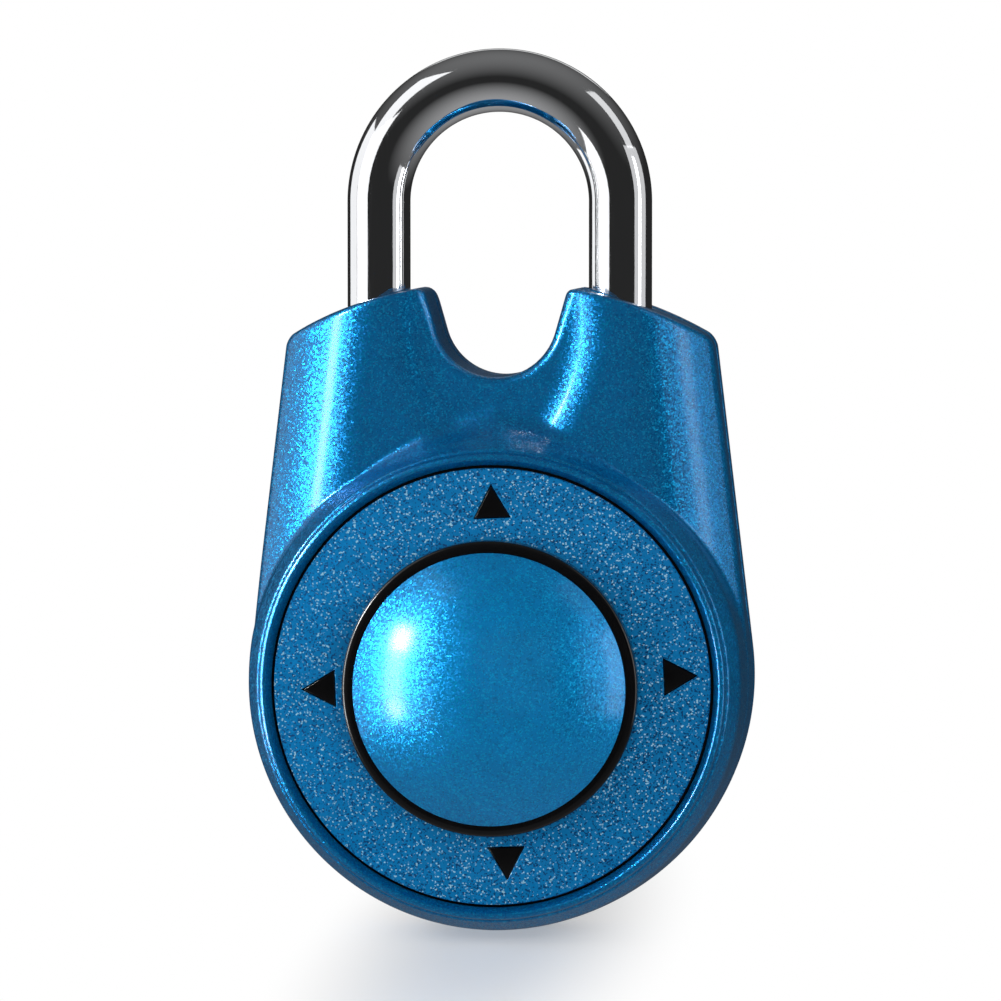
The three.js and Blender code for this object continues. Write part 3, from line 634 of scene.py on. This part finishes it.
def place(obj, body, slot, paint, *nodes):
    """Paints a piece, rides it on its body, and stands it in for those CAD nodes."""
    obj.data.materials.clear()
    obj.data.materials.append(paint)
    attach(obj, body)
    if nodes:
        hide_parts(*nodes)
    return obj


# ---- case ---------------------------------------------------------------------------------------
SIDE, TOP_Z, SPARE = 27.5, 43, 0.2  # the block that holds both castings
shell = field_piece(
    "front_casting", front_field, (-SIDE, WALL_Y, -SIDE), (SIDE, SEAM_Y + SPARE, TOP_Z), 0.3
)
place(shell, "case", "case_blue", CASE_PAINT, "front_shell")
rear = field_piece(
    "rear_casting",
    back_field,
    (-SIDE, REAR_FRONT - SPARE, -SIDE),
    (SIDE, BACK_Y + SPARE, TOP_Z),
    0.35,
)
place(rear, "case", "case_blue", CASE_PAINT, "back_shell")

ring_profile = [
    (24.15, -8.5, 0),
    (24.15, -9.6, 0),
    (23.58, -9.65, 0.05),
    (23.58, -9.95, 0.12),
    (24.1, -10.85, 0.35),
    (24.35, FRONT_Y, 0.25),
    (24.75, -10.8, 0.35),
    (RING_R, -10.1, 0.3),
    (RING_R, -8.5, 0),
]
place(lathe("bezel_ring", soften(ring_profile), 240), "case", "case_blue", CASE_PAINT)


def rivet(name, at):
    """A headed rivet: shank and a low domed head with a set mark in the middle."""
    head_r, shank_r, tail = 2.0, 1.1, -2.0
    outline = [
        (0, BACK_Y - 0.3, 0),
        (0.35, BACK_Y - 0.12, 0.1),
        (1.2, BACK_Y - 0.08, 0.5),
        (head_r, BACK_Y - 0.35, 0.25),
        (head_r, BACK_Y - 0.9, 0.1),
        (shank_r, BACK_Y - 0.9, 0.1),
        (shank_r, tail, 0.15),
        (0, tail, 0),
    ]
    obj = lathe(name, soften(outline, 4), 48)
    obj.data.transform(Matrix.Translation((at[0] * MM, 0, at[1] * MM)))
    return obj


for n, at in enumerate(RIVETS, 1):
    place(rivet(f"rivet_{n}", at), "case", "steel", STEEL, f"case_rivet_{n}")

# ---- shackle ------------------------------------------------------------------------------------
bow = field_piece(
    "shackle_bar",
    shackle_field,
    (-LEG_X - BAR_R, -BAR_R, HEEL_Z),
    (LEG_X + BAR_R, BAR_R, BOW_Z + LEG_X + BAR_R),
    0.3,
)
place(bow, "shackle", "chrome_steel", CHROME, "shackle")

# ---- dial ---------------------------------------------------------------------------------------
DIAL_TURN = math.radians(2.4)
ARROW = {"base": 17.5, "tip": 21.15, "half": 2.02}
ARROWS_AT = (0.8, 0.45)  # the set of arrows sits a little to the right and up
HOLE_R = 9.5
CARRIER_BACK = -8.7


def arrow(turn, inset):
    """The corners of one arrow outline, drawn in by about inset on every side."""
    half, base, tip = ARROW["half"], ARROW["base"], ARROW["tip"]
    corners = [
        (-half + 1.6 * inset, base + inset),
        (half - 1.6 * inset, base + inset),
        (0, tip - 2.3 * inset),
    ]
    c, s = math.cos(turn), math.sin(turn)
    return [(x * c - z * s + ARROWS_AT[0], x * s + z * c + ARROWS_AT[1]) for x, z in corners]


def ring_points(r, count):
    """That many points round a circle."""
    return [
        (r * math.cos(2 * math.pi * k / count), r * math.sin(2 * math.pi * k / count))
        for k in range(count)
    ]


def cut_plate(name, outlines, y_front, y_back, bevel):
    """A flat plate with holes from closed outlines in x and z, its edges rolled over by bevel."""
    curve = bpy.data.curves.new(name, "CURVE")
    curve.dimensions = "2D"
    curve.fill_mode = "BOTH"
    depth = y_back - y_front
    curve.extrude = (depth / 2 - bevel) * MM
    curve.bevel_depth = bevel * MM
    curve.bevel_resolution = 2
    curve.offset = -bevel * MM
    for outline in outlines:
        line = curve.splines.new("POLY")
        line.points.add(len(outline) - 1)
        line.use_cyclic_u = True
        for point, (x, z) in zip(line.points, outline):
            point.co = (x * MM, z * MM, 0, 1)
    holder = bpy.data.objects.new(name, curve)
    bpy.context.scene.collection.objects.link(holder)
    bpy.context.view_layer.update()
    mesh = bpy.data.meshes.new_from_object(
        holder.evaluated_get(bpy.context.evaluated_depsgraph_get())
    )
    bpy.data.objects.remove(holder)
    upright = Matrix.Rotation(math.radians(90), 4, "X")
    middle = Matrix.Translation((0, (y_front + y_back) / 2 * MM, CENTRE_Z * MM))
    mesh.transform(middle @ upright)
    mesh.name = name
    obj = bpy.data.objects.new(name, mesh)
    bpy.context.scene.collection.objects.link(obj)
    clean(obj, 50)
    return obj


def turned_quarters(inset):
    """The four arrows: up, left, down and right."""
    return [arrow(DIAL_TURN + quarter * math.pi / 2, inset) for quarter in range(4)]


face = cut_plate(
    "dial_face",
    [ring_points(DIAL_R, 160), ring_points(HOLE_R, 96), *turned_quarters(0)],
    DIAL_FRONT,
    DIAL_BACK,
    0.12,
)
place(face, "case", "dial_blue", DIAL_PAINT, "dial_plate")

carrier_profile = [
    (HOLE_R, DIAL_BACK + 0.3, 0.1),
    (CARRIER_R, DIAL_BACK + 0.3, 0.2),
    (CARRIER_R, CARRIER_BACK, 0.2),
    (HOLE_R, CARRIER_BACK, 0.1),
]
carrier = lathe("dial_backing", soften(carrier_profile, 3))
place(carrier, "case", "black_plastic", BLACK_GLOSS, "dial_carrier")
for way, outline in zip(("up", "left", "down", "right"), turned_quarters(0.1)):
    mark = cut_plate(f"arrow_{way}", [outline], DIAL_FRONT + 0.04, DIAL_BACK + 0.5, 0.1)
    place(mark, "case", "black_plastic", BLACK_GLOSS)

# ---- knob ---------------------------------------------------------------------------------------
def dome():
    """A shallow spherical cap with a rolled edge, hollow behind."""
    wall, edge, outer_steps, inner_steps = 1.2, 0.3, 40, 24
    height = DOME_EDGE - DOME_TOP
    ball = (DOME_R**2 + height**2) / (2 * height)
    widest = math.asin(DOME_R / ball)
    outer = [
        (ball * math.sin(a), DOME_TOP + ball * (1 - math.cos(a)), 0)
        for a in (widest * k / outer_steps for k in range(outer_steps - 1))
    ]
    inner = [
        ((ball - wall) * math.sin(a), DOME_TOP + ball - (ball - wall) * math.cos(a), 0)
        for a in (widest * k / inner_steps for k in range(inner_steps - 2, -1, -1))
    ]
    rim = [(DOME_R, DOME_EDGE - 0.1, edge), (DOME_R - 0.1, DOME_EDGE, 0.1)]
    rim.append((DOME_R - wall, DOME_EDGE, 0.2))
    return lathe("knob_cap", soften([*outer, *rim, *inner], 5), 240)


place(dome(), "knob", "knob_blue", KNOB_PAINT, "knob_dome")

STEM_HOLE_R = 5.4
skirt_profile = [
    (STEM_HOLE_R, SKIRT_FRONT + 1.2, 0.2),
    (STEM_HOLE_R, SKIRT_FRONT, 0.2),
    (14.3, SKIRT_FRONT, 0.1),
    (15.0, SKIRT_FRONT - 0.02, 0.15),
    (SKIRT_R, SKIRT_FRONT + 0.1, 0.62),
    (SKIRT_R, SKIRT_BACK - 0.05, 0.3),
    (SKIRT_R - 0.7, SKIRT_BACK, 0.2),
    (STEM_HOLE_R, SKIRT_BACK, 0.2),
]
skirt = lathe("knob_rim", soften(skirt_profile, 6), 240)
place(skirt, "knob", "black_plastic", BLACK_GLOSS, "knob_skirt")

# ---- the mechanism keeps its CAD shapes ---------------------------------------------------------
FINISHES = [
    (BRASS, ("code_wheel",)),
    (BLACK, ("dust_shutter", "reset_button")),
    (ACETAL, ("guide_plate", "vertical_slide", "cross_slide", "ratchet_ring", "knob_stem")),
]


def dress_mechanism():
    """Paints each CAD piece that is still shown."""
    for name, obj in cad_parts.items():
        if obj.hide_render:
            continue
        paint = next((look for look, starts in FINISHES if name.startswith(starts)), STEEL)
        obj.data.materials.clear()
        obj.data.materials.append(paint)


dress_mechanism()

# ---- stage, lights and camera -------------------------------------------------------------------
FLOOR_NEAR, FLOOR_FAR = 0.02, 0.15  # metres; the lit patch fades to plain white between these
FLOOR_STRETCH = (7, 1, 1)  # the patch is longer toward the camera than it is wide


def floor():
    """A pale glossy disc that turns plain white away from the lock."""
    bm = bmesh.new()
    bmesh.ops.create_circle(bm, cap_ends=True, segments=96, radius=4)
    mesh = bpy.data.meshes.new("floor")
    bm.to_mesh(mesh)
    bm.free()
    obj = bpy.data.objects.new("floor", mesh)
    bpy.context.scene.collection.objects.link(obj)
    obj.location.z = cad_low.z - 0.0001
    made, tree, bsdf, where = material(
        "pale_floor",
        Base_Color=(0.9, 0.9, 0.9, 1),
        Roughness=0.22,
        Emission_Color=(1, 1, 1, 1),
        Emission_Strength=0.34,
    )
    patch = node(tree, "VectorMath", [(0, where), (1, FLOOR_STRETCH)], operation="MULTIPLY")
    away = node(tree, "VectorMath", [(0, patch.outputs[0])], operation="LENGTH")
    fade = node(
        tree,
        "MapRange",
        [("Value", away.outputs["Value"]), ("From Min", FLOOR_NEAR), ("From Max", FLOOR_FAR)],
        interpolation_type="SMOOTHSTEP",
    )
    seen = node(tree, "LightPath").outputs["Is Camera Ray"]
    share = node(tree, "Math", [(0, fade.outputs[0]), (1, seen)], operation="MULTIPLY")
    white = node(tree, "Emission", [("Color", (1, 1, 1, 1)), ("Strength", 1.0)])
    both = node(
        tree,
        "MixShader",
        [("Fac", share.outputs[0]), (1, bsdf.outputs[0]), (2, white.outputs[0])],
    )
    clear = node(tree, "BsdfTransparent")
    whole = node(
        tree, "MixShader", [("Fac", seen), (1, clear.outputs[0]), (2, both.outputs[0])]
    )
    tree.links.new(whole.outputs[0], tree.nodes["Material Output"].inputs["Surface"])
    mesh.materials.append(made)
    return obj


def lamp(name, azimuth, elevation, distance, size, radiance):
    """A rectangular softbox facing the dial; azimuth 0 is in front and 90 is on the right."""
    light = bpy.data.lights.new(name, "AREA")
    light.shape = "RECTANGLE"
    light.size, light.size_y = size
    light.energy = radiance * math.pi * size[0] * size[1]
    obj = bpy.data.objects.new(name, light)
    bpy.context.scene.collection.objects.link(obj)
    a, e = math.radians(azimuth), math.radians(elevation)
    away = Vector((math.sin(a) * math.cos(e), -math.cos(a) * math.cos(e), math.sin(e)))
    obj.location = Vector((0, 0, CENTRE_Z * MM)) + away * distance
    obj.rotation_mode = "QUATERNION"
    obj.rotation_quaternion = away.to_track_quat("Z", "Y")
    return obj


def studio():
    """A dim room behind white paper: the camera sees the paper, the lock reflects the room."""
    world = bpy.data.worlds.new("studio")
    bpy.context.scene.world = world
    world.use_nodes = True
    tree = world.node_tree
    tree.nodes.clear()
    way = node(tree, "TexCoord").outputs["Generated"]
    across = node(tree, "SeparateXYZ", [("Vector", way)])
    height = node(
        tree, "MapRange", [("Value", across.outputs["Z"]), ("From Min", -1), ("From Max", 1)]
    )
    room = ramp(
        tree, height.outputs[0], [(0.0, (0.35,)), (0.44, (0.022,)), (0.6, (0.022,)), (1.0, (0.16,))]
    )
    seen = node(tree, "Background", [("Color", (1, 1, 1, 1)), ("Strength", 1.0)])
    light = node(tree, "Background", [("Color", room), ("Strength", 1.0)])
    path = node(tree, "LightPath")
    both = node(
        tree,
        "MixShader",
        [("Fac", path.outputs["Is Camera Ray"]), (1, light.outputs[0]), (2, seen.outputs[0])],
    )
    node(tree, "OutputWorld", [("Surface", both.outputs[0])])


floor()
studio()
lamp("left_box", -60, 4, 0.60, (0.50, 0.62), 1.15)
lamp("left_back_box", -103, 4, 0.60, (0.42, 0.65), 1.0)
for sparkle in (
    lamp("left_strip", -62.5, 4, 0.52, (0.12, 0.40), 16.0),
    lamp("left_spot", -62.5, 22.5, 0.50, (0.10, 0.10), 65.0),
    lamp("left_low_spot", -62.5, -13.5, 0.50, (0.06, 0.06), 22.0),
):
    sparkle.visible_diffuse = False
lamp("right_box", 82, 6, 0.60, (0.56, 0.50), 0.62)
lamp("right_strip", 79, 4, 0.55, (0.09, 0.40), 3.4)
lamp("overhead", 180, 31, 0.80, (0.50, 0.16), 0.6)
lamp("upper_left_box", -66, 44, 0.60, (0.34, 0.34), 1.0)
lamp("upper_right_box", 82, 42, 0.60, (0.26, 0.30), 0.7)
for fill in (
    lamp("front_fill", 14, 8, 0.90, (0.90, 0.90), 2.2),
    lamp("back_fill", 170, 12, 1.0, (0.90, 0.90), 1.1),
):
    fill.visible_glossy = False


def camera():
    """A long lens a little above the lock's middle and a little to its right."""
    azimuth, elevation, distance = math.radians(4.8), math.radians(3.0), 0.6
    target = Vector((0.0001, 0, (CENTRE_Z + 19.3) * MM))
    away = Vector(
        (
            math.sin(azimuth) * math.cos(elevation),
            -math.cos(azimuth) * math.cos(elevation),
            math.sin(elevation),
        )
    )
    data = bpy.data.cameras.new("view")
    data.sensor_width = 36
    data.lens = 200
    data.clip_start, data.clip_end = 0.01, 20
    obj = bpy.data.objects.new("view", data)
    bpy.context.scene.collection.objects.link(obj)
    obj.location = target + away * distance
    obj.rotation_mode = "QUATERNION"
    obj.rotation_quaternion = away.to_track_quat("Z", "Y")
    bpy.context.scene.camera = obj


camera()
bpy.context.scene.view_settings.view_transform = "Standard"
